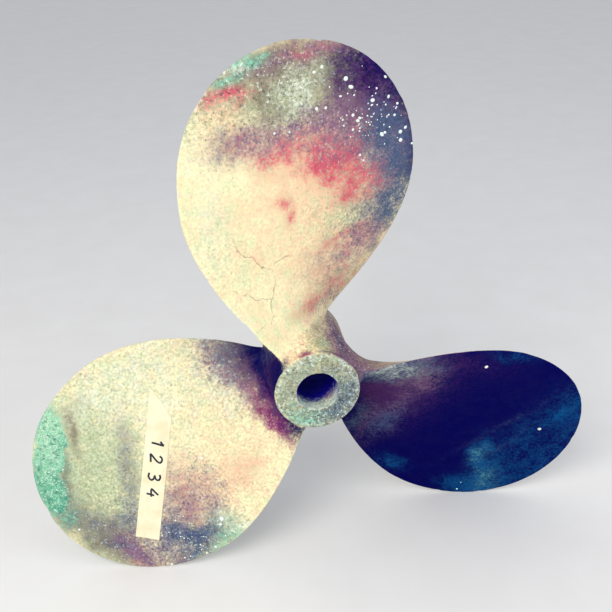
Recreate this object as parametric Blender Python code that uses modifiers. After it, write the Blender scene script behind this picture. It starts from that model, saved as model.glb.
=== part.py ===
"""Three-blade cast bronze boat propeller with a strip of masking tape on one blade.

Units are metres and +Z is up, along the reference line of the top blade. The shaft axis is the
Y axis: the boat lies towards +Y, and the pressure faces of the blades look aft, towards -Y.
The origin is on the shaft axis at the forward face of the hub.
"""
import bpy
import bmesh
from math import atan2, cos, hypot, pi, radians, sin, sqrt, tau
from mathutils import Matrix, Vector

# Blades
BLADE_COUNT = 3
TIP_RADIUS = 0.305
ROOT_PITCH = 0.3784              # length of one full screw, at the barrel and at the tip
TIP_PITCH = 0.4536
TRAILING_SETBACK = 0.0068        # foot of the trailing edge, forward of the aft hub face

# Blade outline, seen along the shaft
TRAILING_WIDTH = 0.0940          # widest reach of each edge from the reference line
LEADING_WIDTH = 0.1229
WIDEST_HEIGHT = 0.181            # height above the shaft axis where both edges are widest
TRAILING_ROOT_WIDTH = 0.0248     # reach of each edge where it comes down to the barrel
LEADING_ROOT_WIDTH = 0.0249
TIP_SWEEP = 0.0126               # tip, towards the leading edge
TRAILING_ROOT_POWER = 1.68       # how fast each edge swells above the root
LEADING_ROOT_POWER = 1.94
TIP_POWER = 0.90                 # roundness of the tip, 1 being an ellipse

# The two edges, by the side of the reference line that they lie on
TRAILING = -1
LEADING = 1
EDGE_SHAPES = {
    TRAILING: (TRAILING_ROOT_WIDTH, TRAILING_WIDTH, TRAILING_ROOT_POWER),
    LEADING: (LEADING_ROOT_WIDTH, LEADING_WIDTH, LEADING_ROOT_POWER),
}

# Blade thickness
ROOT_THICKNESS = 0.022
TIP_THICKNESS = 0.0045
EDGE_THICKNESS = 0.0032
EDGE_ROUNDING = 0.0014           # reach of the rounded nose beyond the flat of the section
SECTION_POWER = 2.2              # fullness of the arched forward side

# Root fillet
FILLET_RADIUS = 0.018
EDGE_SPREAD = 0.30               # fillet's reach along the chord, as a share of its reach across
EDGE_SPREAD_POWER = 3            # how closely that reach keeps to the edges
EDGE_FADE_POWER = 4              # how late the reach across dies away towards the edges
FILLET_FOOT = 0.0010             # height at which the fillet goes on as a straight ramp
ROOT_SINK = 0.0015               # depth of the ramp's end below the barrel
BLADE_END_MARGIN = 0.0030        # least distance from the root metal to a hub face

# Hub
HUB_LENGTH = 0.106
HUB_RADIUS = 0.0402
AFT_CHAMFER = 0.0026
FORWARD_CHAMFER = 0.0040
BORE_AFT_RADIUS = 0.0190
BORE_TAPER = 1 / 16              # change of diameter for each unit of length
BORE_CHAMFER = 0.0010
BORE_OVERRUN = 0.0050
KEYWAY_WIDTH = 0.0110
KEYWAY_DEPTH = 0.0055
KEYWAY_END_MARGIN = 0.0140       # solid land left at the aft end of the keyway
HUB_STEPS = 72

# Blade mesh
CHORD_STEPS = 14
ROOT_STEPS = 14
ROOT_CROWDING = 2.0              # how much closer the rows lie near the root
TIP_STEPS = 16
TIP_LAST_PLACE = 0.945           # the last row stops just short of the tip's single point
TIP_FLANK_DRAW = 0.10            # how far the closing row is drawn in from the ends of the tip row
TIP_NOSE_DRAW = 0.04
TIP_FULLNESS = 0.45              # thickness left at the very end of the tip
PLACE_NUDGE = 0.002              # step that gives the direction of the edge
SMOOTH_ANGLE = radians(32)
MERGE_DISTANCE = 0.00001

# Masking tape, in the outline plane of its blade
TAPE_BLADE = 2
TAPE_WIDTH = 0.024
TAPE_THICKNESS = 0.0004
TAPE_CLEARANCE = 0.0003
TAPE_OUTER_ACROSS = 0.0447       # outer end, towards the trailing edge
TAPE_OUTER_HEIGHT = 0.2410       # height above the shaft axis
TAPE_INNER_ACROSS = 0.0611       # inner end, towards the leading edge
TAPE_INNER_HEIGHT = 0.1309
TAPE_LENGTH_STEPS = 24
TAPE_WIDTH_STEPS = 4

# Finish
BRONZE_COLOR = (0.42, 0.36, 0.26)
BRONZE_METALLIC = 0.6
BRONZE_ROUGHNESS = 0.6
PAPER_COLOR = (0.80, 0.74, 0.60)
PAPER_ROUGHNESS = 0.8


def clear_scene():
    for item in list(bpy.data.objects):
        bpy.data.objects.remove(item, do_unlink=True)


def make_collection(name):
    collection = bpy.data.collections.new(name)
    bpy.context.scene.collection.children.link(collection)
    return collection


def make_material(name, color, metallic, roughness):
    material = bpy.data.materials.new(name)
    material.use_nodes = True
    shader = material.node_tree.nodes["Principled BSDF"]
    shader.inputs["Base Color"].default_value = (*color, 1.0)
    shader.inputs["Metallic"].default_value = metallic
    shader.inputs["Roughness"].default_value = roughness
    return material


def make_object(name, mesh, collection, material=None):
    item = bpy.data.objects.new(name, mesh)
    collection.objects.link(item)
    if material:
        mesh.materials.append(material)
    return item


def mesh_from_bmesh(name, shape):
    bmesh.ops.recalc_face_normals(shape, faces=shape.faces)
    mesh = bpy.data.meshes.new(name)
    shape.to_mesh(mesh)
    shape.free()
    mesh.shade_smooth()
    mesh.set_sharp_from_angle(angle=SMOOTH_ANGLE)
    return mesh


def bore_radius(y):
    return BORE_AFT_RADIUS + BORE_TAPER / 2 * (y + HUB_LENGTH)


def helix_lead(radius):
    """Advance along the shaft for each radian of turn at this radius."""
    share = (radius - HUB_RADIUS) / (TIP_RADIUS - HUB_RADIUS)
    return (ROOT_PITCH + (TIP_PITCH - ROOT_PITCH) * share) / tau


def outline_point(place, side):
    """Edge of the outline, across and up: place 0 is the root, 1 the widest point, 2 the tip."""
    root_width, width, power = EDGE_SHAPES[side]
    if place < 1:
        across = side * (root_width + (width - root_width) * (1 - (1 - place) ** power))
        root_height = sqrt((HUB_RADIUS + FILLET_FOOT) ** 2 - root_width ** 2)
        return Vector((across, root_height + (WIDEST_HEIGHT - root_height) * place))
    turn = (place - 1) * pi / 2
    across = side * width * cos(turn) + TIP_SWEEP * (1 - cos(turn))
    return Vector((across, WIDEST_HEIGHT + (TIP_RADIUS - WIDEST_HEIGHT) * sin(turn) ** TIP_POWER))


def polar(point):
    return hypot(*point), atan2(*point)


def chord_station(radius, angle):
    """Place along the shaft where the pressure face has this radius and angle."""
    foot_radius, foot_angle = polar(outline_point(0, TRAILING))
    foot = -HUB_LENGTH + TRAILING_SETBACK - helix_lead(foot_radius) * foot_angle
    return foot + helix_lead(radius) * angle


def blade_point(radius, angle, lift):
    """Point of a blade, lifted from its pressure face along the section's normal."""
    lead = helix_lead(radius)
    slant = hypot(lead, radius)
    turn = angle - lift * lead / slant / radius
    y = chord_station(radius, angle) + lift * radius / slant
    return Vector((radius * sin(turn), y, radius * cos(turn)))


def flank_point(place, side):
    """Outline point moved inwards, square to the edge, by the reach of the rounded nose."""
    run = outline_point(place + PLACE_NUDGE, side) - outline_point(place - PLACE_NUDGE, side)
    inwards = Vector((-side * run.y, side * run.x)).normalized()
    return outline_point(place, side) + inwards * EDGE_ROUNDING


def blade_row(place):
    """Radius and angle of the trailing and leading flanks, then of the two noses."""
    flanks = [polar(flank_point(place, side)) for side in (TRAILING, LEADING)]
    noses = [polar(outline_point(place, side)) for side in (TRAILING, LEADING)]
    return flanks + noses


def outline_rows():
    rows = []
    for step in range(ROOT_STEPS):
        rows.append(blade_row((step / ROOT_STEPS) ** ROOT_CROWDING))
    for step in range(TIP_STEPS + 1):
        rows.append(blade_row(1 + TIP_LAST_PLACE * step / TIP_STEPS))
    return rows


def buried_rows(first_row):
    """Rows of constant radius, from inside the hub wall up to just under the barrel."""
    inner = (bore_radius(0) + HUB_RADIUS) / 2
    sunk = HUB_RADIUS - ROOT_SINK
    return [[(radius, angle) for _, angle in first_row] for radius in (inner, sunk)]


def closing_row(tip_row):
    """The tip row's noses, drawn in a little, where the rounded edge closes at the tip."""
    trailing, leading = tip_row[2:]
    row = []
    for draw in (TIP_FLANK_DRAW, TIP_NOSE_DRAW):
        row.append(tuple(a + (b - a) * draw for a, b in zip(trailing, leading)))
        row.append(tuple(b + (a - b) * draw for a, b in zip(trailing, leading)))
    return row


def fillet_flare(radius):
    """How far the root metal spreads beyond the plain section at this height over the barrel."""
    height = radius - HUB_RADIUS
    if height >= FILLET_RADIUS:
        return 0.0
    foot = max(height, FILLET_FOOT)
    drop = FILLET_RADIUS - foot
    run = sqrt(FILLET_RADIUS ** 2 - drop ** 2)
    flare = FILLET_RADIUS - run
    ramp = drop / run
    return flare + ramp * (foot - max(height, -ROOT_SINK))


def section_thickness(radius, across):
    """Thickness at a place on the chord: across runs from -1, trailing, to 1, leading."""
    share = min(max((radius - HUB_RADIUS) / (TIP_RADIUS - HUB_RADIUS), 0.0), 1.0)
    crown = ROOT_THICKNESS + (TIP_THICKNESS - ROOT_THICKNESS) * share
    return EDGE_THICKNESS + (crown - EDGE_THICKNESS) * (1 - abs(across) ** SECTION_POWER)


def root_spread(radius, angle, across):
    """Fillet's spread at a place on the chord: along the chord, aft and forward."""
    lead = helix_lead(radius)
    slant = hypot(lead, radius)
    flare = fillet_flare(radius)
    along = EDGE_SPREAD * flare * across ** EDGE_SPREAD_POWER
    y = chord_station(radius, angle) + along * lead / slant
    aft_room = (y + HUB_LENGTH - BLADE_END_MARGIN) * slant / radius
    forward_room = (-BLADE_END_MARGIN - y) * slant / radius
    spread = flare * (1 - across ** EDGE_FADE_POWER)
    return along, min(spread, max(aft_room, 0.0)), min(spread, max(forward_room, 0.0))


def lifted_point(radius, angle, across, side):
    """Point at a height in the section: 0 is the pressure face, 1 the arched forward face."""
    along, aft, forward = root_spread(radius, angle, across)
    lift = side * (section_thickness(radius, across) + aft + forward) - aft
    return blade_point(radius, angle + along / hypot(helix_lead(radius), radius), lift)


def skin_point(row, across, side):
    (trailing_radius, trailing_angle), (leading_radius, leading_angle) = row[:2]
    share = (1 + across) / 2
    radius = trailing_radius + (leading_radius - trailing_radius) * share
    angle = trailing_angle + (leading_angle - trailing_angle) * share
    return lifted_point(radius, angle, across, side)


def section_ring(row, fullness=1.0):
    """Closed section: pressure face, leading nose, forward face, trailing nose."""
    chord = [sin(pi / 2 * (2 * step / CHORD_STEPS - 1)) for step in range(CHORD_STEPS + 1)]
    face = (1 - fullness) / 2
    trailing_nose, leading_nose = row[2:]
    ring = [skin_point(row, across, face) for across in chord]
    ring.append(lifted_point(*leading_nose, LEADING, 0.5))
    ring += [skin_point(row, across, 1 - face) for across in reversed(chord)]
    ring.append(lifted_point(*trailing_nose, TRAILING, 0.5))
    return ring


def make_blade_mesh(name, turn):
    """Loft of a flat-faced section along the helix, with a rounded edge all round."""
    outline = outline_rows()
    rings = [section_ring(row) for row in buried_rows(outline[0]) + outline]
    rings.append(section_ring(closing_row(outline[-1]), TIP_FULLNESS))
    shape = bmesh.new()
    loops = [[shape.verts.new(point) for point in ring] for ring in rings]
    count = len(loops[0])
    for lower, upper in zip(loops, loops[1:]):
        for index in range(count):
            following = (index + 1) % count
            shape.faces.new((lower[index], lower[following], upper[following], upper[index]))
    shape.faces.new(reversed(loops[0]))
    shape.faces.new(loops[-1])
    bmesh.ops.rotate(shape, verts=shape.verts, matrix=Matrix.Rotation(turn, 3, "Y"))
    return mesh_from_bmesh(name, shape)


def turned_object(name, profile, collection, material=None):
    """Solid of revolution about the shaft from (radius, y) points that run from forward to aft."""
    shape = bmesh.new()
    points = [shape.verts.new((radius, 0.0, y)) for radius, y in profile]
    for upper, lower in zip(points, points[1:]):
        shape.edges.new((upper, lower))
    mesh = bpy.data.meshes.new(name)
    shape.to_mesh(mesh)
    shape.free()
    item = make_object(name, mesh, collection, material)
    item.rotation_euler.x = -pi / 2
    screw = item.modifiers.new("Turn", "SCREW")
    screw.steps = HUB_STEPS
    screw.render_steps = HUB_STEPS
    screw.use_merge_vertices = True
    screw.merge_threshold = MERGE_DISTANCE
    return item


def hub_profile():
    return [
        (0.0, 0.0),
        (HUB_RADIUS - FORWARD_CHAMFER, 0.0),
        (HUB_RADIUS, -FORWARD_CHAMFER),
        (HUB_RADIUS, AFT_CHAMFER - HUB_LENGTH),
        (HUB_RADIUS - AFT_CHAMFER, -HUB_LENGTH),
        (0.0, -HUB_LENGTH),
    ]


def bore_profile():
    mouth = -HUB_LENGTH - BORE_OVERRUN
    return [
        (0.0, BORE_OVERRUN),
        (bore_radius(0) + BORE_CHAMFER + BORE_OVERRUN, BORE_OVERRUN),
        (bore_radius(-BORE_CHAMFER), -BORE_CHAMFER),
        (bore_radius(BORE_CHAMFER - HUB_LENGTH), BORE_CHAMFER - HUB_LENGTH),
        (bore_radius(-HUB_LENGTH) + BORE_CHAMFER + BORE_OVERRUN, mouth),
        (0.0, mouth),
    ]


def make_keyway_cutter(collection):
    """Box that opens at the forward face and stops short of the aft face."""
    aft_end = -HUB_LENGTH + KEYWAY_END_MARGIN
    length = BORE_OVERRUN - aft_end
    top = bore_radius(0) + KEYWAY_DEPTH
    shape = bmesh.new()
    bmesh.ops.create_cube(shape, size=1.0)
    bmesh.ops.scale(shape, verts=shape.verts, vec=(KEYWAY_WIDTH, length, top))
    bmesh.ops.translate(shape, verts=shape.verts, vec=(0, aft_end + length / 2, top / 2))
    return make_object("keyway_cutter", mesh_from_bmesh("keyway_cutter", shape), collection)


def hide_helper(item):
    item.hide_render = True
    item.display_type = "WIRE"


def add_boolean(item, other, operation):
    cut = item.modifiers.new(other.name, "BOOLEAN")
    cut.operation = operation
    cut.solver = "EXACT"
    cut.object = other
    hide_helper(other)


def bake(item):
    """Fix the modifiers' result as the object's mesh, with its sharp edges marked."""
    graph = bpy.context.evaluated_depsgraph_get()
    mesh = bpy.data.meshes.new_from_object(item.evaluated_get(graph))
    mesh.set_sharp_from_angle(angle=SMOOTH_ANGLE)
    item.modifiers.clear()
    item.data = mesh


def make_casting(parts, helpers):
    bronze = make_material("weathered_bronze", BRONZE_COLOR, BRONZE_METALLIC, BRONZE_ROUGHNESS)
    casting = turned_object("propeller_casting", hub_profile(), parts, bronze)
    for index in range(BLADE_COUNT):
        name = f"blade_{index + 1}"
        mesh = make_blade_mesh(name, tau * index / BLADE_COUNT)
        add_boolean(casting, make_object(name, mesh, helpers), "UNION")
    add_boolean(casting, turned_object("bore_cutter", bore_profile(), helpers), "DIFFERENCE")
    add_boolean(casting, make_keyway_cutter(helpers), "DIFFERENCE")
    bake(casting)
    return casting


def make_tape(parts):
    """Thin strip that follows the twist of the pressure face of its blade."""
    start = Vector((TRAILING * TAPE_OUTER_ACROSS, TAPE_OUTER_HEIGHT))
    run = Vector((LEADING * TAPE_INNER_ACROSS, TAPE_INNER_HEIGHT)) - start
    side = Vector((-run.y, run.x)).normalized() * TAPE_WIDTH
    shape = bmesh.new()
    steps = {"x_segments": TAPE_LENGTH_STEPS, "y_segments": TAPE_WIDTH_STEPS}
    for lift in (TAPE_CLEARANCE, TAPE_CLEARANCE + TAPE_THICKNESS):
        grid = bmesh.ops.create_grid(shape, size=0.5, **steps)
        for vertex in grid["verts"]:
            place = start + run * (vertex.co.x + 0.5) + side * vertex.co.y
            vertex.co = blade_point(*polar(place), -lift)
    bmesh.ops.bridge_loops(shape, edges=[edge for edge in shape.edges if edge.is_boundary])
    turn = Matrix.Rotation(tau * TAPE_BLADE / BLADE_COUNT, 3, "Y")
    bmesh.ops.rotate(shape, verts=shape.verts, matrix=turn)
    paper = make_material("masking_tape", PAPER_COLOR, 0.0, PAPER_ROUGHNESS)
    return make_object("label_tape", mesh_from_bmesh("label_tape", shape), parts, paper)


clear_scene()
part_collection = make_collection("ship_propeller")
helper_collection = make_collection("cutters_and_blanks")
propeller = make_casting(part_collection, helper_collection)
tape = make_tape(part_collection)
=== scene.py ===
from math import atan, atan2, ceil, cos, degrees, exp, hypot, pi, radians, sin, sqrt, tau
from random import Random

import bmesh
import bpy
from mathutils import Matrix, Vector
from mathutils.noise import noise, noise_vector, seed_set


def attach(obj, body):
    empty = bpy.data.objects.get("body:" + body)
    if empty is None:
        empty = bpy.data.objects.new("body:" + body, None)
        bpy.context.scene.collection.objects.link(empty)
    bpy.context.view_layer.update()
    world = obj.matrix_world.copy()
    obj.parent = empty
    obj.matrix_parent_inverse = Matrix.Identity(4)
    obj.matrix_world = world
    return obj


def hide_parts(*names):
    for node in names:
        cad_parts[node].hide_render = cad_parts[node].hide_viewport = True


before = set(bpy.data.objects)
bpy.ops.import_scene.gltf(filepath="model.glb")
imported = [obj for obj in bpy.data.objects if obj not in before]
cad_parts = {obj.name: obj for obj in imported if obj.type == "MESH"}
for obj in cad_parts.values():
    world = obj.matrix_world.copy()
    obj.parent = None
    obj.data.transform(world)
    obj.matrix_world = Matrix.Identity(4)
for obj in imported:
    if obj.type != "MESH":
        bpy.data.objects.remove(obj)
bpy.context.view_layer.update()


# ------------------------------
# Blade blanks. Three broad blades that are cast in one with the hub, in bronze: a flat pressure
# face that follows a screw surface, an arched back, a thin rounded edge that is worn and nicked,
# and a root that swells out into the barrel. Each is a sheet rolled into a tube and closed.
MM = 0.001
BLADE_COUNT = 3
TIP_RADIUS = 0.305
ROOT_PITCH = 0.3784
TIP_PITCH = 0.4536
TRAILING_SETBACK = 0.0068
TRAILING = -1
LEADING = 1
EDGE_SHAPES = {TRAILING: (0.0248, 0.0940, 1.68), LEADING: (0.0249, 0.1229, 1.94)}
WIDEST_HEIGHT = 0.181
TIP_SWEEP = 0.0126
TIP_POWER = 0.90
ROOT_THICKNESS = 0.022
TIP_THICKNESS = 0.0045
EDGE_THICKNESS = 0.0032
EDGE_ROUNDING = 0.0014
SECTION_POWER = 2.2
FILLET_RADIUS = 0.018
FILLET_FOOT = 0.0010
EDGE_SPREAD = 0.30
ROOT_SINK = 0.0015
BLADE_END_MARGIN = 0.0030
HUB_LENGTH = 0.106
HUB_RADIUS = 0.0402
ROOT_BURIED_RADIUS = 0.0312

CHORD_STEPS = 88
CHORD_CROWDING = 1.20  # how much closer the points lie near the two edges
ROOT_STEPS = 70
ROOT_CROWDING = 1.35
TIP_STEPS = 60
TIP_LAST_PLACE = 0.955
PLACE_NUDGE = 0.002
NOSE_HEIGHTS = (0.15, 0.5, 0.85)
TIP_CLOSING = ((0.75, 0.70), (1.0, 0.30))  # last rings: how far drawn in, and how full
TIP_FLANK_DRAW = 0.08  # most that they are drawn in from the ends of the tip row
TIP_NOSE_DRAW = 0.05

# Wear of the edge: how deep, and how many waves of it to the metre
WANDER_DEPTH, WANDER_WAVES = 0.45 * MM, 22
NICK_DEPTH, NICK_WAVES = 0.60 * MM, 130
CHIP_DEPTH, CHIP_WAVES = 1.6 * MM, 48
WEAR_START, WEAR_FULL = 0.05, 0.40  # places on the outline between which the wear sets in


def fade(low, high, value):
    """Smooth rise from 0 at low to 1 at high, or a fall where low is the larger."""
    share = min(max((value - low) / (high - low), 0.0), 1.0)
    return share * share * (3 - 2 * share)


def helix_lead(radius):
    """Advance along the shaft for each radian of turn at this radius."""
    share = (radius - HUB_RADIUS) / (TIP_RADIUS - HUB_RADIUS)
    return (ROOT_PITCH + (TIP_PITCH - ROOT_PITCH) * share) / tau


def clean_edge(place, side):
    """Edge of the outline, across and up: place 0 is the root, 1 the widest point, 2 the tip."""
    root_width, width, power = EDGE_SHAPES[side]
    if place < 1:
        across = side * (root_width + (width - root_width) * (1 - (1 - place) ** power))
        root_height = sqrt((HUB_RADIUS + FILLET_FOOT) ** 2 - root_width ** 2)
        return Vector((across, root_height + (WIDEST_HEIGHT - root_height) * place))
    turn = (place - 1) * pi / 2
    across = side * width * cos(turn) + TIP_SWEEP * (1 - cos(turn))
    return Vector((across, WIDEST_HEIGHT + (TIP_RADIUS - WIDEST_HEIGHT) * sin(turn) ** TIP_POWER))


def edge_loss(spot, blade):
    """How far the edge has worn back here. No two blades are worn alike."""
    at = Vector((spot.x, spot.y, 0.31 * blade + 0.07))
    wander = WANDER_DEPTH * (0.5 + noise(at * WANDER_WAVES))
    nick = NICK_DEPTH * max(noise(at * NICK_WAVES) - 0.12, 0.0)
    chip = CHIP_DEPTH * fade(0.42, 0.62, noise(at * CHIP_WAVES + Vector((3, 5, 9))))
    return max(wander, 0.0) + nick + chip


def worn_edge(place, side, blade, inset=0.0):
    """Edge point moved inwards, square to the edge, by its wear and a further inset."""
    spot = clean_edge(place, side)
    run = clean_edge(place + PLACE_NUDGE, side) - clean_edge(place - PLACE_NUDGE, side)
    inwards = Vector((-side * run.y, side * run.x)).normalized()
    loss = edge_loss(spot, blade) * fade(WEAR_START, WEAR_FULL, place)
    return spot + inwards * (loss + inset)


def polar(spot):
    return hypot(*spot), atan2(*spot)


def chord_station(radius, angle):
    """Place along the shaft where the pressure face has this radius and angle."""
    foot_radius, foot_angle = polar(clean_edge(0, TRAILING))
    foot = -HUB_LENGTH + TRAILING_SETBACK - helix_lead(foot_radius) * foot_angle
    return foot + helix_lead(radius) * angle


def blade_point(radius, angle, lift):
    """Point of a blade, lifted from its pressure face along the section's normal."""
    lead = helix_lead(radius)
    slant = hypot(lead, radius)
    turn = angle - lift * lead / slant / radius
    y = chord_station(radius, angle) + lift * radius / slant
    return Vector((radius * sin(turn), y, radius * cos(turn)))


def blade_row(place, blade):
    """Radius and angle of the trailing and leading flanks, then of the two noses."""
    flanks = [polar(worn_edge(place, side, blade, EDGE_ROUNDING)) for side in (TRAILING, LEADING)]
    noses = [polar(worn_edge(place, side, blade)) for side in (TRAILING, LEADING)]
    return flanks + noses


def between(a, b, share):
    return tuple(p + (q - p) * share for p, q in zip(a, b))


def fillet_flare(radius):
    """How far the root metal spreads beyond the plain section at this height over the barrel."""
    height = radius - HUB_RADIUS
    if height >= FILLET_RADIUS:
        return 0.0
    foot = max(height, FILLET_FOOT)
    drop = FILLET_RADIUS - foot
    run = sqrt(FILLET_RADIUS ** 2 - drop ** 2)
    return FILLET_RADIUS - run + drop / run * (foot - max(height, -ROOT_SINK))


def section_thickness(radius, across):
    share = min(max((radius - HUB_RADIUS) / (TIP_RADIUS - HUB_RADIUS), 0.0), 1.0)
    crown = ROOT_THICKNESS + (TIP_THICKNESS - ROOT_THICKNESS) * share
    return EDGE_THICKNESS + (crown - EDGE_THICKNESS) * (1 - abs(across) ** SECTION_POWER)


def section_point(radius, angle, across, height):
    """Point of the section: height 0 is the pressure face, 1 the arched back."""
    lead = helix_lead(radius)
    slant = hypot(lead, radius)
    flare = fillet_flare(radius)
    along = EDGE_SPREAD * flare * across ** 3
    y = chord_station(radius, angle) + along * lead / slant
    spread = flare * (1 - across ** 4)
    aft = min(spread, max((y + HUB_LENGTH - BLADE_END_MARGIN) * slant / radius, 0.0))
    forward = min(spread, max((-BLADE_END_MARGIN - y) * slant / radius, 0.0))
    lift = height * (section_thickness(radius, across) + aft + forward) - aft
    return blade_point(radius, angle + along / slant, lift)


def section_ring(row, fullness=1.0):
    """Closed section: pressure face, leading nose, back, trailing nose."""
    trailing, leading, trailing_nose, leading_nose = row
    steps = [2 * step / CHORD_STEPS - 1 for step in range(CHORD_STEPS + 1)]
    chord = [sin(CHORD_CROWDING * step) / sin(CHORD_CROWDING) for step in steps]
    face = (1 - fullness) / 2
    ring = []
    ends = (LEADING, leading, leading_nose), (TRAILING, trailing, trailing_nose)
    for side, flank, nose in ends:
        places, height = (chord, face) if side == LEADING else (chord[::-1], 1 - face)
        for across in places:
            middle = between(trailing, leading, (1 + across) / 2)
            ring.append(section_point(*middle, across, height))
        for rise in NOSE_HEIGHTS:
            reach = sqrt(1 - (2 * rise - 1) ** 2)
            level = face + (rise if side == LEADING else 1 - rise) * fullness
            ring.append(section_point(*between(flank, nose, reach), side, level))
    return ring


def blade_turn(blade):
    return Matrix.Rotation(tau * blade / BLADE_COUNT, 3, "Y")


def make_blade(blade):
    rows = [blade_row((step / ROOT_STEPS) ** ROOT_CROWDING, blade) for step in range(ROOT_STEPS)]
    rows += [blade_row(1 + TIP_LAST_PLACE * step / TIP_STEPS, blade)
             for step in range(TIP_STEPS + 1)]
    buried = [[(radius, angle) for _, angle in rows[0]]
              for radius in (ROOT_BURIED_RADIUS, HUB_RADIUS - ROOT_SINK)]
    rings = [section_ring(row) for row in buried + rows]
    *flanks, trailing_nose, leading_nose = rows[-1]
    noses = ((trailing_nose, leading_nose), (leading_nose, trailing_nose))
    for draw, fullness in TIP_CLOSING:
        row = [between(flank, between(*pair, TIP_FLANK_DRAW), draw)
               for flank, pair in zip(flanks, noses)]
        row += [between(*pair, TIP_NOSE_DRAW * draw) for pair in noses]
        rings.append(section_ring(row, fullness))

    shape = bmesh.new()
    around, up = len(rings[0]), len(rings) - 1
    bmesh.ops.create_grid(shape, x_segments=around, y_segments=up, size=0.5)
    for vertex in shape.verts:
        ring = rings[round((vertex.co.y + 0.5) * up)]
        vertex.co = ring[round((vertex.co.x + 0.5) * around) % around]
    seam = [v for v in shape.verts if v.is_boundary]
    bmesh.ops.remove_doubles(shape, verts=seam, dist=0.01 * MM)
    bmesh.ops.holes_fill(shape, edges=[e for e in shape.edges if e.is_boundary], sides=0)
    bmesh.ops.rotate(shape, verts=shape.verts, matrix=blade_turn(blade))
    return as_object(f"blade_{blade + 1}", shape)


def as_object(name, shape):
    """The bmesh becomes an object of that name, with its faces pointing outwards."""
    bmesh.ops.recalc_face_normals(shape, faces=shape.faces)
    mesh = bpy.data.meshes.new(name)
    shape.to_mesh(mesh)
    shape.free()
    mesh.shade_smooth()
    piece = bpy.data.objects.new(name, mesh)
    bpy.context.scene.collection.objects.link(piece)
    return piece


# ------------------------------
# Hub. The barrel of the same casting, bored on a taper for the shaft, with its corners worn
# round and one keyway from the forward end. The blades are joined to it and the lot is one
# solid, then the cast skin gets its slow waves, lumps and pits.
BORE_AFT_RADIUS = 0.0190
BORE_TAPER = 1 / 16
AFT_ROUNDING = 0.0030
FORWARD_ROUNDING = 0.0038
BORE_ROUNDING = 0.0011
KEYWAY_WIDTH = 0.0110
KEYWAY_DEPTH = 0.0055
KEYWAY_END_MARGIN = 0.0140
HUB_STEPS = 140
HUB_ROW = 0.0026
JOINT_BAND = 0.0028  # height over the barrel in which the joint is cleaned up

JOINT_MERGE = 0.45 * MM  # slivers shorter than this are merged there
JOINT_END_MARGIN = 5 * MM  # the smoothing keeps this far from the hub faces
CORNER_STEPS = 4

# The cast skin: how deep, and how many waves of it to the metre
WAVE_DEPTH, WAVE_WAVES = 0.28 * MM, 17
LUMP_DEPTH, LUMP_WAVES, SMALL_LUMP_WAVES = 0.11 * MM, 75, 160
PIT_DEPTH, PIT_WAVES, PITTED_AREA_WAVES = 0.34 * MM, 210, 24
HUB_DEPTH, HUB_WAVES, SMALL_HUB_WAVES = 0.30 * MM, 110, 260
HUB_FACE_BAND = 1.5 * MM  # the skin of the two flat hub faces only goes inwards


def bore_radius(y):
    return BORE_AFT_RADIUS + BORE_TAPER / 2 * (y + HUB_LENGTH)


def on_corner(edge, radius, y):
    return all(abs(v.co.y - y) < MM / 10 and abs(hypot(v.co.x, v.co.z) - radius) < MM / 10
               for v in edge.verts)


def make_hub():
    corners = {
        (HUB_RADIUS, 0.0): FORWARD_ROUNDING,
        (HUB_RADIUS, -HUB_LENGTH): AFT_ROUNDING,
        (bore_radius(-HUB_LENGTH), -HUB_LENGTH): BORE_ROUNDING,
        (bore_radius(0), 0.0): BORE_ROUNDING,
    }
    shape = bmesh.new()
    points = [shape.verts.new((0, y, radius)) for radius, y in corners]
    for start, end in zip(points, points[1:] + points[:1]):
        shape.edges.new((start, end))
    bmesh.ops.spin(shape, geom=shape.verts[:] + shape.edges[:], cent=(0, 0, 0), axis=(0, 1, 0),
                   angle=tau, steps=HUB_STEPS, use_merge=True)
    bmesh.ops.recalc_face_normals(shape, faces=shape.faces)
    for (radius, y), rounding in corners.items():
        ring = [edge for edge in shape.edges if on_corner(edge, radius, y)]
        bmesh.ops.bevel(shape, geom=ring, offset=rounding, affect="EDGES", segments=CORNER_STEPS,
                        profile=0.5, material=-1)
    bands = {}
    for edge in shape.edges:
        a, b = (Vector((hypot(v.co.x, v.co.z), v.co.y)) for v in edge.verts)
        if (a - b).length > HUB_ROW:
            middle = (a + b) / 2
            bands.setdefault((round(middle.x, 4), round(middle.y, 4)), []).append(edge)
    for band in bands.values():
        cuts = ceil(band[0].calc_length() / HUB_ROW) - 1
        bmesh.ops.subdivide_edges(shape, edges=band, cuts=cuts, use_grid_fill=True)
    return as_object("hub", shape)


def make_keyway_cutter():
    shape = bmesh.new()
    bmesh.ops.create_cube(shape, size=1.0)
    aft_end = -HUB_LENGTH + KEYWAY_END_MARGIN
    length = BLADE_END_MARGIN - aft_end
    top = bore_radius(0) + KEYWAY_DEPTH
    bmesh.ops.scale(shape, verts=shape.verts, vec=(KEYWAY_WIDTH, length, top))
    bmesh.ops.translate(shape, verts=shape.verts, vec=(0, aft_end + length / 2, top / 2))
    return as_object("keyway_cutter", shape)


def join_castings(hub, blades, cutter):
    for tool, operation in [(blade, "UNION") for blade in blades] + [(cutter, "DIFFERENCE")]:
        cut = hub.modifiers.new(tool.name, "BOOLEAN")
        cut.operation = operation
        cut.solver = "MANIFOLD"
        cut.object = tool
    graph = bpy.context.evaluated_depsgraph_get()
    shape = bmesh.new()
    shape.from_mesh(hub.evaluated_get(graph).to_mesh())
    for item in [hub, cutter] + blades:
        bpy.data.objects.remove(item, do_unlink=True)
    return shape


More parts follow.
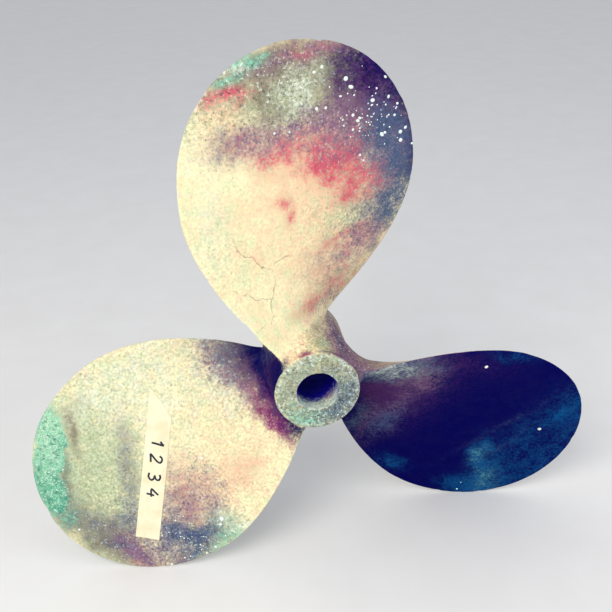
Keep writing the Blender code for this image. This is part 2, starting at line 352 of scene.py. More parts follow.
def skin_height(point):
    """Height of the rough cast skin over the clean form, along its normal."""
    waves = WAVE_DEPTH * noise(point * WAVE_WAVES)
    lumps = noise(point * LUMP_WAVES) + 0.5 * noise(point * SMALL_LUMP_WAVES)
    lumps *= LUMP_DEPTH
    eaten = fade(0.0, 0.5, noise(point * PITTED_AREA_WAVES + Vector((7, 1, 4))))
    pits = PIT_DEPTH * eaten * max(noise(point * PIT_WAVES), 0.0)
    return waves + lumps - pits - WAVE_DEPTH / 2


def roughen(shape):
    """Moves the clean skin to its rough height. The barrel is rougher than the blades."""
    shape.normal_update()
    heights = []
    for vertex in shape.verts:
        radius = hypot(vertex.co.x, vertex.co.z)
        height = skin_height(vertex.co)
        on_hub = fade(HUB_RADIUS + 4 * MM, HUB_RADIUS - 1 * MM, radius)
        rough = noise(vertex.co * SMALL_HUB_WAVES) + 0.8 * noise(vertex.co * HUB_WAVES)
        height += on_hub * HUB_DEPTH * (rough - 0.6)
        on_hub_face = not HUB_FACE_BAND - HUB_LENGTH <= vertex.co.y <= -HUB_FACE_BAND
        if radius < HUB_RADIUS and on_hub_face:
            height = min(height, 0.0)
        heights.append(height)
    for vertex, height in zip(shape.verts, heights):
        vertex.co += vertex.normal * height


def clean_joint(shape):
    """Merges the slivers that the union leaves along the foot of each blade, and eases them."""
    def in_band(vertex):
        height = hypot(vertex.co.x, vertex.co.z) - HUB_RADIUS
        return -0.3 * MM < height < JOINT_BAND

    foot = [v for v in shape.verts if in_band(v)]
    bmesh.ops.remove_doubles(shape, verts=foot, dist=JOINT_MERGE)
    bmesh.ops.dissolve_degenerate(shape, edges=shape.edges, dist=0.01 * MM)
    low, high = -HUB_LENGTH + JOINT_END_MARGIN, -JOINT_END_MARGIN
    for _ in range(3):
        foot = [v for v in shape.verts if in_band(v) and low < v.co.y < high]
        bmesh.ops.smooth_vert(shape, verts=foot, factor=0.5, use_axis_x=True, use_axis_y=True,
                              use_axis_z=True)


blades = [make_blade(blade) for blade in range(BLADE_COUNT)]
casting_shape = join_castings(make_hub(), blades, make_keyway_cutter())
clean_joint(casting_shape)
roughen(casting_shape)


# ------------------------------
# Patina of the casting. Bare bronze that has lain wet and dry for years: a chalky ivory skin,
# grey-green and olive bloom, copper-red stain, slate, blue-green salts. Navy and violet tones are painted
# shade.
# Each tone is a mask kept on the mesh, and the material breaks it up into stipple and grain.
TONES = {  # in the order in which they lie over each other
    "peach": (248, 204, 162),
    "celadon": (186, 196, 156),
    "umber": (128, 112, 98),
    # The next two tones are painted shade in navy: they darken where shade falls, not the metal.
    "painted_shade": (0, 0, 78),
    "painted_bore_shade": (16, 10, 150),
    "rose": (214, 84, 104),
    "magenta": (140, 40, 104),
    "mauve": (142, 108, 130),
    # Painted shade, tinted violet.
    "violet_shade": (70, 36, 92),
    "slate": (76, 92, 124),
    "sea_blue": (6, 74, 128),
    "verdigris": (122, 190, 162),
    "pale": (228, 238, 214),
}
GRAIN, HAIRLINES = "grain", "hairlines"  # two more masks: how gritty the skin is, and its cracks
IVORY = (254, 240, 192)
OLD_IVORY = (242, 224, 176)
GREEN_IVORY = (226, 232, 184)
ROSY_IVORY = (248, 212, 180)

# Soft patches by zone: across, up, half width, half height in mm, strength, tilt in degrees. On
# the barrel and in the bore they are turn in degrees and place along the shaft in mm.
TOP, RIGHT, LEFT = range(BLADE_COUNT)
BARREL, RING, BORE = "barrel", "ring", "bore"
ZONES = TOP, RIGHT, LEFT, BARREL, RING, BORE
ALL_OVER = 0, 0, 9999, 9999  # for a patch on the whole of a zone
RIM_RADIUS = 38.6  # of the pale rim of the ring, in mm
PATCHES = {
    "peach": {
        TOP: [(-10, 150, 50, 50, .35), (16, 92, 24, 36, .35), (-40, 255, 22, 16, .45),
              (20, 190, 40, 20, .4), (40, 140, 20, 20, .4)],
        LEFT: [(-4, 108, 40, 30, .22), (-38, 126, 20, 34, .5), (-14, 172, 34, 26, .3)],
        BARREL: [(-22, -80, 22, 60, .4)]},
    "celadon": {
        TOP: [(16, 262, 32, 27, .97), (36, 246, 26, 14, .5), (-50, 272, 28, 18, .5), (62, 128, 26, 16, .65),
              (-66, 160, 24, 44, .25), (50, 150, 20, 14, .4), (30, 70, 20, 20, .3)],
        LEFT: [(50, 240, 66, 40, .9, -35), (-6, 280, 45, 16, .85), (-78, 165, 12, 24, .6),
               (20, 215, 40, 20, .6, -35), (64, 130, 60, 60, .26)],
        BARREL: [(20, -84, 13, 15, .97), (60, -20, 60, 20, .3)],
        RING: [(*ALL_OVER, .62)],
        BORE: [(180, -98, 70, 20, .8), (-180, -98, 70, 20, .8)]},
    "umber": {
        TOP: [(4, 296, 50, 9, .7), (-12, 280, 40, 18, .6), (-10, 252, 14, 20, .4), (58, 262, 26, 28, .6),
              (-40, 228, 22, 13, .4), (-60, 284, 14, 12, .45)],
        # On the left blade, the two thin tilted umber lines at 56, 262 and 82, 229 run along the inner
        # border of the crust: a painted shadow of its raised edge.
        LEFT: [(10, 285, 52, 13, .7), (34, 200, 46, 9, .34, -36), (-28, 262, 20, 14, .8),
               (56, 262, 30, 4, .8, -38), (82, 229, 18, 5, .8, -25), (-40, 185, 30, 24, .4),
               (-85, 225, 10, 30, .5), (96, 208, 10, 14, .3)],
        BARREL: [(12, -50, 12, 30, .5), (60, -98, 30, 7, .6), (85, -90, 14, 16, .6), (48, -60, 18, 80, .4),
                 (80, -70, 26, 30, .6)],
        RING: [(*ALL_OVER, .3)]},
    # Painted shade: all over the right blade, on the right side of the top blade, at the root and along the
    # edge of the left blade, on the sides of the barrel between the blades, and as a thin dark line at the
    # foot of the ring.
    "painted_shade": {
        TOP: [(101, 253, 31, 26, 1.6), (68, 282, 24, 14, .75), (112, 222, 16, 30, .9),
              (116, 182, 15, 34, 1.0)],
        RIGHT: [(*ALL_OVER, 1.7)],
        LEFT: [(12, 44, 33, 11, 1.6), (50, 49, 18, 7, .6), (-100, 200, 7, 60, .35), (-50, 262, 22, 9, .42),
               (-20, 40, 16, 9, .8), (20, 292, 30, 5, .3)],
        BARREL: [(-65, -90, 21, 28, 1.7), (-76, -60, 16, 30, 1.4), (-90, -36, 15, 22, 1.4),
                 (-95, -80, 16, 36, 1.4), (120, -60, 22, 90, 1.2), (150, -60, 30, 80, 1.0),
                 (54, -101.4, 28, 2.8, 1.3), (-170, -60, 22, 60, .75), (-116, -60, 22, 36, 1.0)]},
    "painted_bore_shade": {
        # Painted shade in the bore: navy all round and along its length, except on the lower wall by the
        # aft mouth.
        BORE: [(0, -53, 104, 9999, 1.9), (180, -44, 130, 25, 5.0), (-180, -44, 130, 25, 5.0)]},
    "rose": {
        TOP: [(-10, 214, 20, 14, .55), (42, 200, 24, 17, .8), (38, 184, 13, 14, .5), (64, 180, 24, 14, .56),
              (70, 165, 20, 12, .55), (88, 166, 11, 14, .6), (64, 206, 18, 12, .5), (50, 156, 9, 7, .7),
              (-5, 168, 8, 8, .62), (0, 154, 6, 5, .6), (-40, 269, 16, 8, .8, 10), (40, 118, 20, 4, .4, 8),
              (38, 64, 16, 12, .4), (34, 294, 26, 5, .45), (48, 92, 30, 22, .36), (72, 112, 20, 12, .34),
              (74, 226, 14, 12, .38), (10, 224, 20, 10, .3), (8, 60, 13, 9, .5), (-32, 230, 14, 9, .32),
              (14, 214, 20, 10, .3)],
        LEFT: [(-50, 262, 16, 8, .5), (-14, 174, 28, 20, .25), (-38, 110, 11, 20, .25),
               (-56, 192, 16, 14, .25), (-84, 228, 7, 14, .35)],
        BORE: [(146, -96, 14, 8, .55)]},
    "magenta": {
        RIGHT: [(4, 82, 16, 14, .4)],
        LEFT: [(-20, 60, 18, 9, .95), (14, 64, 24, 8, .8)],
        BARREL: [(-8, -101, 9, 5, .8), (-130, -98, 12, 9, .8)]},
    "mauve": {
        TOP: [(-36, 226, 24, 13, .52), (60, 236, 28, 18, .85), (-2, 237, 36, 9, .6), (46, 98, 30, 20, .42),
              (30, 224, 26, 9, .45), (30, 52, 20, 12, .5), (95, 200, 18, 34, .5), (74, 112, 18, 14, .5),
              (-14, 288, 34, 10, .35), (40, 294, 40, 9, .5), (80, 150, 18, 10, .4), (46, 206, 26, 18, .34),
              (82, 218, 18, 18, .55), (80, 128, 18, 14, .35)],
        RIGHT: [(-34, 94, 28, 24, .5), (30, 104, 46, 16, .42)],
        LEFT: [(-64, 236, 24, 26, .5), (-40, 168, 34, 28, .52), (44, 72, 28, 14, .8),
               (-28, 208, 20, 18, .5), (-50, 260, 24, 12, .85), (42, 196, 40, 9, .22, -36)],
        BARREL: [(42, -80, 14, 90, .75), (60, -80, 20, 90, .7), (82, -84, 18, 34, .55)]},
    # Painted shade, tinted violet: a haze over the right blade, the root of the left blade, the upper right
    # of the top blade and the side of the barrel.
    "violet_shade": {
        TOP: [(68, 266, 20, 26, .62), (96, 232, 16, 22, .4)],
        RIGHT: [(-10, 120, 60, 26, .35), (6, 84, 22, 18, .85), (-66, 150, 16, 40, .22),
                (60, 96, 20, 10, .3)],
        LEFT: [(12, 56, 26, 6, .6), (48, 62, 18, 8, .35), (-18, 53, 15, 7, .6)],
        BARREL: [(-120, -86, 18, 30, 1.0), (52, -66, 12, 30, .5), (-72, -50, 36, 36, .4)]},
    "slate": {
        TOP: [(102, 176, 14, 30, .75), (86, 132, 22, 14, .55), (92, 212, 18, 24, .85),
              (88, 112, 40, 8, .45, 59), (98, 142, 14, 14, .6)],
        RIGHT: [(-36, 64, 20, 24, .9), (54, 112, 20, 7, .35), (62, 88, 24, 8, .5), (-50, 100, 10, 20, .4),
                (0, 222, 60, 4, .22, -21), (24, 240, 50, 4, .18, -21)],
        LEFT: [(-56, 211, 20, 14, .8), (-72, 192, 14, 20, .8), (-34, 270, 13, 9, .4), (46, 66, 24, 12, .5),
               (-14, 246, 13, 15, .5, -20), (-86, 214, 7, 20, .6), (10, 217, 54, 9, .4, -36),
               (-62, 236, 20, 20, .35), (10, 280, 34, 16, .4)],
        BARREL: [(48, -60, 10, 30, .4), (96, -96, 14, 8, .6), (180, -96, 26, 10, .6),
                 (-180, -96, 26, 10, .6), (-58, -40, 26, 18, .5)],
        RING: [(*ALL_OVER, .3), (26, -16, 18, 22, .55), (34, 2, 8, 14, .35), (8, -30, 18, 10, .3)]},
    "sea_blue": {
        RIGHT: [(25, 292, 90, 16, .4), (-32, 268, 10, 9, .7), (70, 238, 34, 9, .75, 30),
                (104, 228, 9, 18, .6), (102, 150, 8, 16, .55), (-52, 272, 20, 9, .4, 30),
                (-88, 168, 7, 20, .4), (97, 264, 10, 10, .45), (10, 252, 66, 22, .32), (44, 222, 12, 7, .6),
                (92, 256, 34, 22, .5), (44, 110, 30, 12, .32)]},
    "verdigris": {
        TOP: [(-20, 297, 14, 6, .8), (-37, 280, 12, 6, .8)],
        RIGHT: [(48, 223, 12, 6, .26), (82, 250, 24, 14, .2, 30)],
        LEFT: [(-76, 166, 14, 14, .45), (-90, 185, 6, 24, .45), (66, 262, 44, 11, .4, -36),
               (80, 268, 44, 8, 1.2, -44), (26, 288, 18, 11, .4)],
        RING: [(-18, -26, 14, 11, .5), (*ALL_OVER, .16)],
        BORE: [(-150, -102, 50, 10, .5), (170, -102, 50, 10, .5)]},
    "pale": {
        TOP: [(-32, 293, 12, 6, .5), (20, 264, 18, 18, .46), (-72, 190, 16, 60, .26)],
        RIGHT: [(-36, 62, 16, 26, .4)],
        LEFT: [(-74, 165, 10, 8, .5), (-86, 150, 6, 12, .45), (92, 190, 16, 30, .22),
               (70, 136, 56, 64, .34), (20, 84, 20, 12, .25)],
        RING: [(RIM_RADIUS * sin(radians(turn)), RIM_RADIUS * cos(radians(turn)), 5, 5, .42)
               for turn in range(0, 360, 20)],
        # In the bore, the pale band on the lower wall by the aft mouth is a painted pool of light.
        BORE: [(180, -100, 90, 7, .85), (-180, -100, 90, 7, .85)]},
    GRAIN: {
        TOP: [(10, 272, 90, 34, 1.4), (70, 236, 50, 30, .9), (70, 150, 40, 50, .7), (40, 70, 26, 30, .7),
              (-70, 130, 30, 40, .25)],
        RIGHT: [(-38, 62, 16, 30, .8), (40, 90, 40, 20, .5)],
        LEFT: [(0, 180, 9999, 9999, .4), (-60, 220, 50, 50, 1.0), (10, 270, 70, 30, .5),
               (-4, 238, 50, 16, .5, -46), (44, 70, 40, 22, .6)],
        BARREL: [(40, -60, 60, 99, 1.3), (-150, -60, 60, 99, .7)],
        RING: [(*ALL_OVER, 1.45)],
        BORE: [(180, -100, 90, 20, .8), (-180, -100, 90, 20, .8)]},
    HAIRLINES: {
        TOP: [(-34, 118, 30, 44, 1.0), (44, 76, 16, 20, .5)],
        LEFT: [(-20, 120, 20, 30, .3)],
        RING: [(26, 14, 10, 12, .6)]},
}

# The backs and the forward end aren't picked out patch by patch: low and high share of each
# tone, and the size of its clouds in mm.
CLOUDS = {
    "peach": (-0.1, 0.6, 90), "celadon": (-0.1, 0.9, 110), "umber": (-0.4, 1.0, 90),
    "painted_shade": (-1.3, 0.8, 120), "painted_bore_shade": (0.0, 0.0, 99), "rose": (-0.9, 0.7, 70),
    "magenta": (-1.3, 0.5, 70), "mauve": (-0.6, 0.8, 100), "violet_shade": (-1.2, 0.5, 80),
    "slate": (-0.8, 0.9, 90), "sea_blue": (-1.2, 0.3, 60), "verdigris": (-0.9, 0.9, 60),
    "pale": (-0.4, 0.6, 60), GRAIN: (0.1, 0.9, 80), HAIRLINES: (-0.6, 0.7, 80),
}
CLOUD_DRIFT = Vector((0.37, 0.61, 0.83))  # keeps the clouds of two tones apart
RUBBED_EDGE = 0.55  # cover of the pale tone where hands and water rub the blade edges
WARP_SEED = 4  # of the noise that bends the borders of the patches
WARPS = ((30, 8), (95, 4))  # its waves to the metre, and its reach in mm
BARREL_REACH, BACK_REACH = 9, 45  # of the barrel's patches up the blades and their backs, in mm
FALL_OFF = 0.65  # how fast a patch fades outwards


def patch_cover(spot, centre_across, centre_up, half_width, half_height, strength, tilt=0):
    dx, dy = spot[0] - centre_across, spot[1] - centre_up
    c, s = cos(radians(tilt)), sin(radians(tilt))
    distance = ((dx * c + dy * s) / half_width) ** 2 + ((dy * c - dx * s) / half_height) ** 2
    return strength * exp(-FALL_OFF * distance)


def zone_cover(tone, zone, spot):
    """Cover of a tone, its patches laid over each other. Above 1 it is free of stipple."""
    bare, strongest = 1.0, 0.0
    for patch in PATCHES[tone].get(zone, ()):
        cover = patch_cover(spot, *patch)
        bare *= 1 - min(cover, 1.0)
        strongest = max(strongest, cover)
    return max(1 - bare, strongest)


def cloud_cover(tone, point):
    low, high, size = CLOUDS[tone]
    drift = CLOUD_DRIFT * list(CLOUDS).index(tone)
    waves = noise(point * (1 / (size * MM)) + drift * 9)
    waves += 0.4 * noise(point * (2.6 / (size * MM)) + drift)
    return min(max(low + (high - low) * (0.5 + 0.5 * waves), 0.0), 1.0)


def blade_place(point):
    """Turn, radius, nearest blade, and from that blade the angle and the lift off its pressure
    face, as a share of the edge's thickness."""
    turn, radius = atan2(point.x, point.z), hypot(point.x, point.z)
    step = round(turn / (tau / BLADE_COUNT))
    angle = turn - step * tau / BLADE_COUNT
    lift = (point.y - chord_station(radius, angle)) * hypot(helix_lead(radius), radius) / radius
    return turn, radius, step, angle, lift / EDGE_THICKNESS


def zone_spots(point):
    """Zones that this point of the skin is in: name, share, and its spot on the zone's map."""
    turn, radius, step, angle, lift = blade_place(point)
    coarse, fine = (noise_vector(point * waves) * reach for waves, reach in WARPS)
    warp = coarse + fine
    wall = bore_radius(point.y)
    in_bore = fade(wall + 1.2 * MM, wall + 0.3 * MM, radius)
    on_ring = fade(2.2 * MM, 0.6 * MM, point.y + HUB_LENGTH) * (1 - in_bore)
    on_face = fade(1.0, 0.7, lift)
    reach = (BARREL_REACH + BACK_REACH * (1 - on_face)) * MM
    on_barrel = fade(HUB_RADIUS + reach, HUB_RADIUS + 2 * MM, radius)
    on_barrel *= (1 - in_bore) * (1 - on_ring) * fade(-5 * MM, -28 * MM, point.y)
    on_blade = 1 - in_bore - on_ring - on_barrel
    on_face *= fade(HUB_RADIUS, HUB_RADIUS + 3 * MM, radius)
    shaft_spot = degrees(turn) + warp.x * 0.5, point.y / MM + warp.y * 0.15
    blade_spot = radius / MM * sin(angle) + warp.x, radius / MM * cos(angle) + warp.z
    return (
        (BORE, in_bore, shaft_spot),
        (RING, on_ring, (point.x / MM + warp.x * 0.4, point.z / MM + warp.z * 0.4)),
        (BARREL, on_barrel, shaft_spot),
        (step % BLADE_COUNT, on_blade * on_face, blade_spot),
        (None, on_blade * (1 - on_face), blade_spot),
    )


def edge_rub(point):
    """Share to which this point lies on the thin rounded edge of a blade."""
    _, radius, _, _, lift = blade_place(point)
    clear_of_root = fade(HUB_RADIUS + 12 * MM, HUB_RADIUS + 30 * MM, radius)
    return clear_of_root * fade(0.10, 0.30, lift) * fade(1.0, 0.8, lift)


def lay_tones(shape):
    """Writes the masks: how much of each tone lies on each point of the skin."""
    layers = {tone: shape.verts.layers.float.new(tone) for tone in CLOUDS}
    for vertex in shape.verts:
        spots = [entry for entry in zone_spots(vertex.co) if entry[1] > 0]
        for tone, layer in layers.items():
            vertex[layer] = sum(
                share * (zone_cover(tone, zone, spot) if zone in ZONES
                         else cloud_cover(tone, vertex.co))
                for zone, share, spot in spots)
        worn = edge_rub(vertex.co) * RUBBED_EDGE * fade(-0.3, 0.2, noise(vertex.co * 40))
        # The rub stays off the verdigris and off the painted shade.
        worn *= 1 - min(vertex[layers["verdigris"]] + vertex[layers["painted_shade"]], 1.0)
        vertex[layers["pale"]] = max(vertex[layers["pale"]], worn)


def tint(colour):
    """Linear colour with alpha from the 0 to 255 values that a screen shows."""
    shares = [value / 255 for value in colour]
    return (*((s / 12.92 if s <= 0.04045 else ((s + 0.055) / 1.055) ** 2.4) for s in shares), 1.0)


class Finish:
    """A material under construction: its colour so far, and calls that add a node to it."""

    def __init__(self, name, base, specular, roughness=0.5):
        self.material = bpy.data.materials.new(name)
        self.material.use_nodes = True
        self.tree = self.material.node_tree
        self.shader = self.tree.nodes["Principled BSDF"]
        self.shader.inputs["Specular IOR Level"].default_value = specular
        self.shader.inputs["Roughness"].default_value = roughness
        self.coords = self.node("TexCoord", {}).outputs["Object"]
        self.colour = tint(base)

    def node(self, kind, inputs, **settings):
        """A shader node with these settings, and with its inputs by their number or name."""
        node = self.tree.nodes.new("ShaderNode" + kind)
        for key, value in settings.items():
            setattr(node, key, value)
        for key, value in inputs.items():
            if isinstance(value, bpy.types.NodeSocket):
                self.tree.links.new(value, node.inputs[key])
            else:
                node.inputs[key].default_value = value
        return node

    def speckle(self, size, detail=3.0, roughness=0.55, shift=(0, 0, 0)):
        """Noise with features of about this size in mm; its three channels as separate outputs."""
        place = self.node("Mapping", {0: self.coords, 1: shift}).outputs[0]
        cloud = self.node("TexNoise", {"Vector": place, "Scale": 1 / (size * MM),
                                       "Detail": detail, "Roughness": roughness})
        return self.node("SeparateColor", {0: cloud.outputs["Color"]}).outputs

    def math(self, operation, *values, kind="Math"):
        return self.node(kind, dict(enumerate(values)), operation=operation).outputs[0]

    def times(self, a, b):
        return self.math("MULTIPLY", a, b)

    def ramp(self, value, low, high, bottom=0.0, top=1.0):
        """Smooth run from bottom to top while the value goes from low to high."""
        return self.node("MapRange", {0: value, 1: low, 2: high, 3: bottom, 4: top},
                         interpolation_type="SMOOTHSTEP").outputs[0]

    def mask(self, name):
        return self.node("Attribute", {}, attribute_name=name).outputs["Fac"]

    def relief(self, height, depth, **under):
        return self.node("Bump", {"Height": height, "Distance": depth, **under}).outputs[0]

    def lay(self, share, over, kind="MIX"):
        """Lays a share of another colour over the colour so far."""
        over = tint(over) if isinstance(over, tuple) else over
        self.colour = self.node("Mix", {0: share, 6: self.colour, 7: over},
                                data_type="RGBA", blend_type=kind).outputs[2]

    def done(self, **links):
        """Joins the colour and these outputs to the shader, and gives the material."""
        for key, value in {"Base Color": self.colour, **links}.items():
            self.tree.links.new(value, self.shader.inputs[key])
        return self.material


PORE, SALT, CRACK = (72, 58, 78), (222, 228, 208), (134, 96, 84)
MIDDLE_WEIGHT = 0.75  # of the coarser noise in the stipple, beside 1 for the grit
STIPPLE = 1.5  # how strongly the two break up a tone
CRACK_CELLS = 17  # cells of the crack pattern to the metre
CRACK_WANDER_SIZE, CRACK_WANDER = 22 * MM, 30 * MM


def patina_finish():
    finish = Finish("weathered_bronze", IVORY, specular=0.04)
    broad = finish.speckle(34, detail=4)
    middle = finish.speckle(12, detail=6, roughness=0.66, shift=(3.1, 1.7, 5.3))
    grit = finish.speckle(2.8, detail=3, roughness=0.70, shift=(9.2, 4.4, 2.6))
    finish.lay(finish.ramp(broad[0], 0.35, 0.65), OLD_IVORY)
    finish.lay(finish.ramp(middle[1], 0.42, 0.64, 0, 0.75), GREEN_IVORY)
    finish.lay(finish.ramp(middle[0], 0.50, 0.68, 0, 0.65), ROSY_IVORY)
    for index, (tone, shade) in enumerate(TONES.items()):
        cover = finish.mask(tone)
        coarse = finish.times(middle[index % 3], MIDDLE_WEIGHT)
        stipple = finish.math("ADD", coarse, grit[(index + 1) % 3])
        sway = finish.times(finish.math("SUBTRACT", stipple, (MIDDLE_WEIGHT + 1) / 2), STIPPLE)
        gate = finish.math("MINIMUM", finish.times(cover, 3.0), 1.0)
        finish.lay(finish.ramp(finish.math("MULTIPLY_ADD", sway, gate, cover), 0.0, 1.0), shade)

    grain = finish.mask(GRAIN)
    # Cover of the painted shade, both navy tones: the pores and salts are kept off it.
    painted_shade_cover = finish.math("ADD", finish.mask("painted_shade"), finish.mask("painted_bore_shade"))
    clear = finish.math("SUBTRACT", 1.0, finish.math("MINIMUM", painted_shade_cover, 1.0))
    dimmest = finish.math("MULTIPLY_ADD", grain, -0.34, 0.90)
    brightest = finish.math("MULTIPLY_ADD", grain, 0.14, 1.04)
    shade = finish.ramp(grit[0], 0.32, 0.68, dimmest, brightest)
    grey = finish.node("CombineColor", {0: shade, 1: shade, 2: shade}).outputs[0]
    finish.lay(1.0, grey, "MULTIPLY")
    pores = finish.ramp(grit[2], 0.58, 0.68, 0, finish.math("MULTIPLY_ADD", grain, 0.45, 0.15))
    finish.lay(finish.times(pores, clear), PORE)
    salts = finish.ramp(grit[1], 0.57, 0.66, 0, finish.math("MULTIPLY_ADD", grain, 0.52, 0.12))
    finish.lay(finish.times(salts, clear), SALT)

    cloud = finish.node("TexNoise", {"Vector": finish.coords, "Detail": 4.0,
                                     "Scale": 1 / CRACK_WANDER_SIZE}).outputs["Color"]
    push = finish.math("SUBTRACT", cloud, (0.5,) * 3, kind="VectorMath")
    place = finish.math("MULTIPLY_ADD", push, (CRACK_WANDER,) * 3, finish.coords,
                        kind="VectorMath")
    cracks = finish.node("TexVoronoi", {"Vector": place, "Scale": CRACK_CELLS},
                         feature="DISTANCE_TO_EDGE").outputs["Distance"]
    hairline = finish.times(finish.ramp(cracks, 0.013, 0.004),
                            finish.ramp(finish.mask(HAIRLINES), 0.35, 0.6))
    finish.lay(finish.times(hairline, finish.ramp(broad[1], 0.42, 0.50, 0.0, 0.55)), CRACK)

    lumps = finish.relief(middle[0], 0.4 * MM)
    return finish.done(Roughness=finish.ramp(middle[2], 0.3, 0.7, 0.62, 0.88),
                       Normal=finish.relief(grit[0], 0.3 * MM, Normal=lumps))


seed_set(WARP_SEED)
lay_tones(casting_shape)
casting = as_object("weathered_casting", casting_shape)
casting.data.set_sharp_from_angle(angle=radians(38))
casting.data.materials.append(patina_finish())
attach(casting, "root")
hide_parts("propeller_casting")


# ------------------------------
# Verdigris crust. Thick blue-green copper salts that have grown in a lumpy scab along the
# leading edge and tip of the left blade. A closed slab with a ragged border, bedded in the skin.
CRUST_START = 1.885  # along the leading edge, by place on the outline
CRUST_END = 1.245
CRUST_RIM_INSET = 0.7 * MM
CRUST_INNER = ((34, 296), (26, 292), (26, 283), (32, 276), (43, 270), (55, 267), (58, 258),
               (66, 250), (74, 237), (87, 232), (100, 226), (112, 229))
CRUST_STEPS = 110, 34  # along and across
CRUST_DEPTH = 2.2 * MM
CRUST_BED = 0.7 * MM  # depth of its underside, and of the rim of its top
CRUST_RIM_BED = 0.25 * MM
CRUST_LUMPS = ((90, 0.8), (230, 0.55), (470, 0.35))  # waves to the metre, share of the depth
GROWTH = "growth"  # mask from 0 at the start of the crust, at the tip, to 1


def face_point(blade, spot, proud):
    """Point on the rough pressure face of a blade, raised from it, and the way out of the face."""
    clean = blade_turn(blade) @ blade_point(*polar(spot), 0.0)
    out = (blade_turn(blade) @ blade_point(*polar(spot), -MM) - clean).normalized()
    return clean + out * (skin_height(clean) + proud), out


def make_slab(name, steps, sides, slab_point):
    """Closed sheet: a grid of slab_point(along, across, side) for each side, joined at the rims."""
    shape = bmesh.new()
    growth = shape.verts.layers.float.new(GROWTH)
    for side in sides:
        grid = bmesh.ops.create_grid(shape, x_segments=steps[0], y_segments=steps[1], size=0.5)
        for vertex in grid["verts"]:
            along, across = vertex.co.x + 0.5, vertex.co.y + 0.5
            vertex.co = slab_point(along, across, side)
            vertex[growth] = along
    bmesh.ops.bridge_loops(shape, edges=[edge for edge in shape.edges if edge.is_boundary])
    return as_object(name, shape)


def along_line(points, share):
    """Point of a run of points at a share of its number of spans."""
    place = min(max(share, 0.0), 0.9999) * (len(points) - 1)
    start, end = points[int(place)], points[int(place) + 1]
    return Vector(start).lerp(Vector(end), place - int(place))


def crust_spot(along, across):
    place = CRUST_START + (CRUST_END - CRUST_START) * along
    outer = worn_edge(place, LEADING, LEFT, CRUST_RIM_INSET)
    inner = along_line(CRUST_INNER, along) * MM
    ragged = noise(Vector((along * 9, 0, 3))) * 1.6 * MM
    ragged += noise(Vector((along * 34, 0, 8))) * 1.5 * MM
    inner += (inner - outer).normalized() * ragged
    return outer.lerp(inner, across)


def crust_point(along, across, bedded):
    spot = crust_spot(along, across)
    cover = fade(0.0, 1.0, min(along * 22, (1 - along) * 22, across * 6, (1 - across) * 7))
    at = Vector((spot.x, spot.y, 0.2))
    lumps = 0.50 + sum(depth * noise(at * waves) for waves, depth in CRUST_LUMPS)
    proud = -CRUST_BED if bedded else CRUST_DEPTH * cover * max(lumps, 0.12) - CRUST_RIM_BED
    return face_point(LEFT, spot, proud)[0]


def verdigris_finish():
    finish = Finish("verdigris", (58, 146, 124), specular=0.2, roughness=0.92)
    middle = finish.speckle(6.0, detail=5, roughness=0.65)
    fine = finish.speckle(1.6, detail=4, roughness=0.65, shift=(5, 2, 8))
    broad = finish.speckle(26, detail=3, shift=(1, 7, 3))
    age = finish.math("ADD", finish.mask(GROWTH), finish.times(broad[0], 1.2))
    finish.lay(finish.ramp(age, 0.55, 0.85), (104, 182, 146))
    finish.lay(finish.ramp(age, 0.95, 1.6), (166, 218, 178))
    finish.lay(finish.ramp(middle[0], 0.48, 0.66, 0, 0.6), (166, 212, 174))
    finish.lay(finish.ramp(middle[1], 0.50, 0.66, 0, 0.8), (58, 122, 104))
    # Whitish specks where the lumps rise are painted highlights, and dark specks off the lumps are painted
    # shade in the hollows between them.
    in_clumps = finish.ramp(middle[2], 0.44, 0.60, 0.20, 0.90)
    finish.lay(finish.times(finish.ramp(fine[0], 0.46, 0.62), in_clumps), (222, 244, 222))
    off_clumps = finish.ramp(middle[2], 0.56, 0.40, 0.05, 0.80)
    finish.lay(finish.times(finish.ramp(fine[1], 0.50, 0.66), off_clumps), (40, 92, 84))
    lumps = finish.relief(middle[2], 1.4 * MM)
    return finish.done(Normal=finish.relief(fine[2], 0.9 * MM, Normal=lumps))


crust = make_slab("verdigris_crust", CRUST_STEPS, (False, True), crust_point)
crust.data.materials.append(verdigris_finish())
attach(crust, "root")


# ------------------------------
# Lime flecks. Hard white dots of scale and shell foot that stay on the bronze after it has been
# in the water, most of them towards the leading edge of the top blade. Low domes, bedded in.
FLECK_SEED = 11
FLECKS = {  # across, up and width in mm
    TOP: [(35, 275, 3.2), (42, 278, 3.4), (62, 264, 5.0), (66, 256, 4.6), (-5, 232, 2.6),
          (8, 230, 2.0), (34, 244, 3.2), (42, 243, 3.0), (66, 231, 3.8), (70, 225, 3.6),
          (65, 218, 2.6), (72, 227, 3.0), (85, 240, 3.6), (92, 207, 4.6), (95, 208, 3.4),
          (110, 205, 4.0), (115, 208, 3.0), (110, 197, 4.2), (100, 240, 3.0), (108, 232, 2.6),
          (105, 222, 3.2), (98, 258, 3.0), (121, 191, 3.0), (70, 193, 2.8), (73, 187, 2.4),
          (84, 236, 2.4), (47, 260, 2.0), (56, 250, 2.4)],
    RIGHT: [(-8, 260, 4.8), (-67, 152, 3.6), (108, 233, 2.4)],
    LEFT: [(-68, 165, 5.2), (-89, 190, 3.4), (-81, 240, 3.0), (-72, 170, 3.6), (-10, 142, 3.0),
           (-90, 202, 2.6), (2, 290, 2.4)],
}
# Drifts of smaller flecks: centre, spread, count. They stay in an ellipse on the outer blade.
FLECK_DRIFTS = {TOP: ((85, 232), 36, 64), RIGHT: ((96, 240), 20, 1), LEFT: ((-74, 206), 40, 44)}
DRIFT_LOWEST = 120
DRIFT_CENTRE, DRIFT_HALF_WIDTH, DRIFT_HALF_HEIGHT = Vector((14.5, 181)), 108.5, 124
DRIFT_END = 0.96  # share of the ellipse, clear of the rim
FLECK_RISE = 0.16  # half height as a share of the width


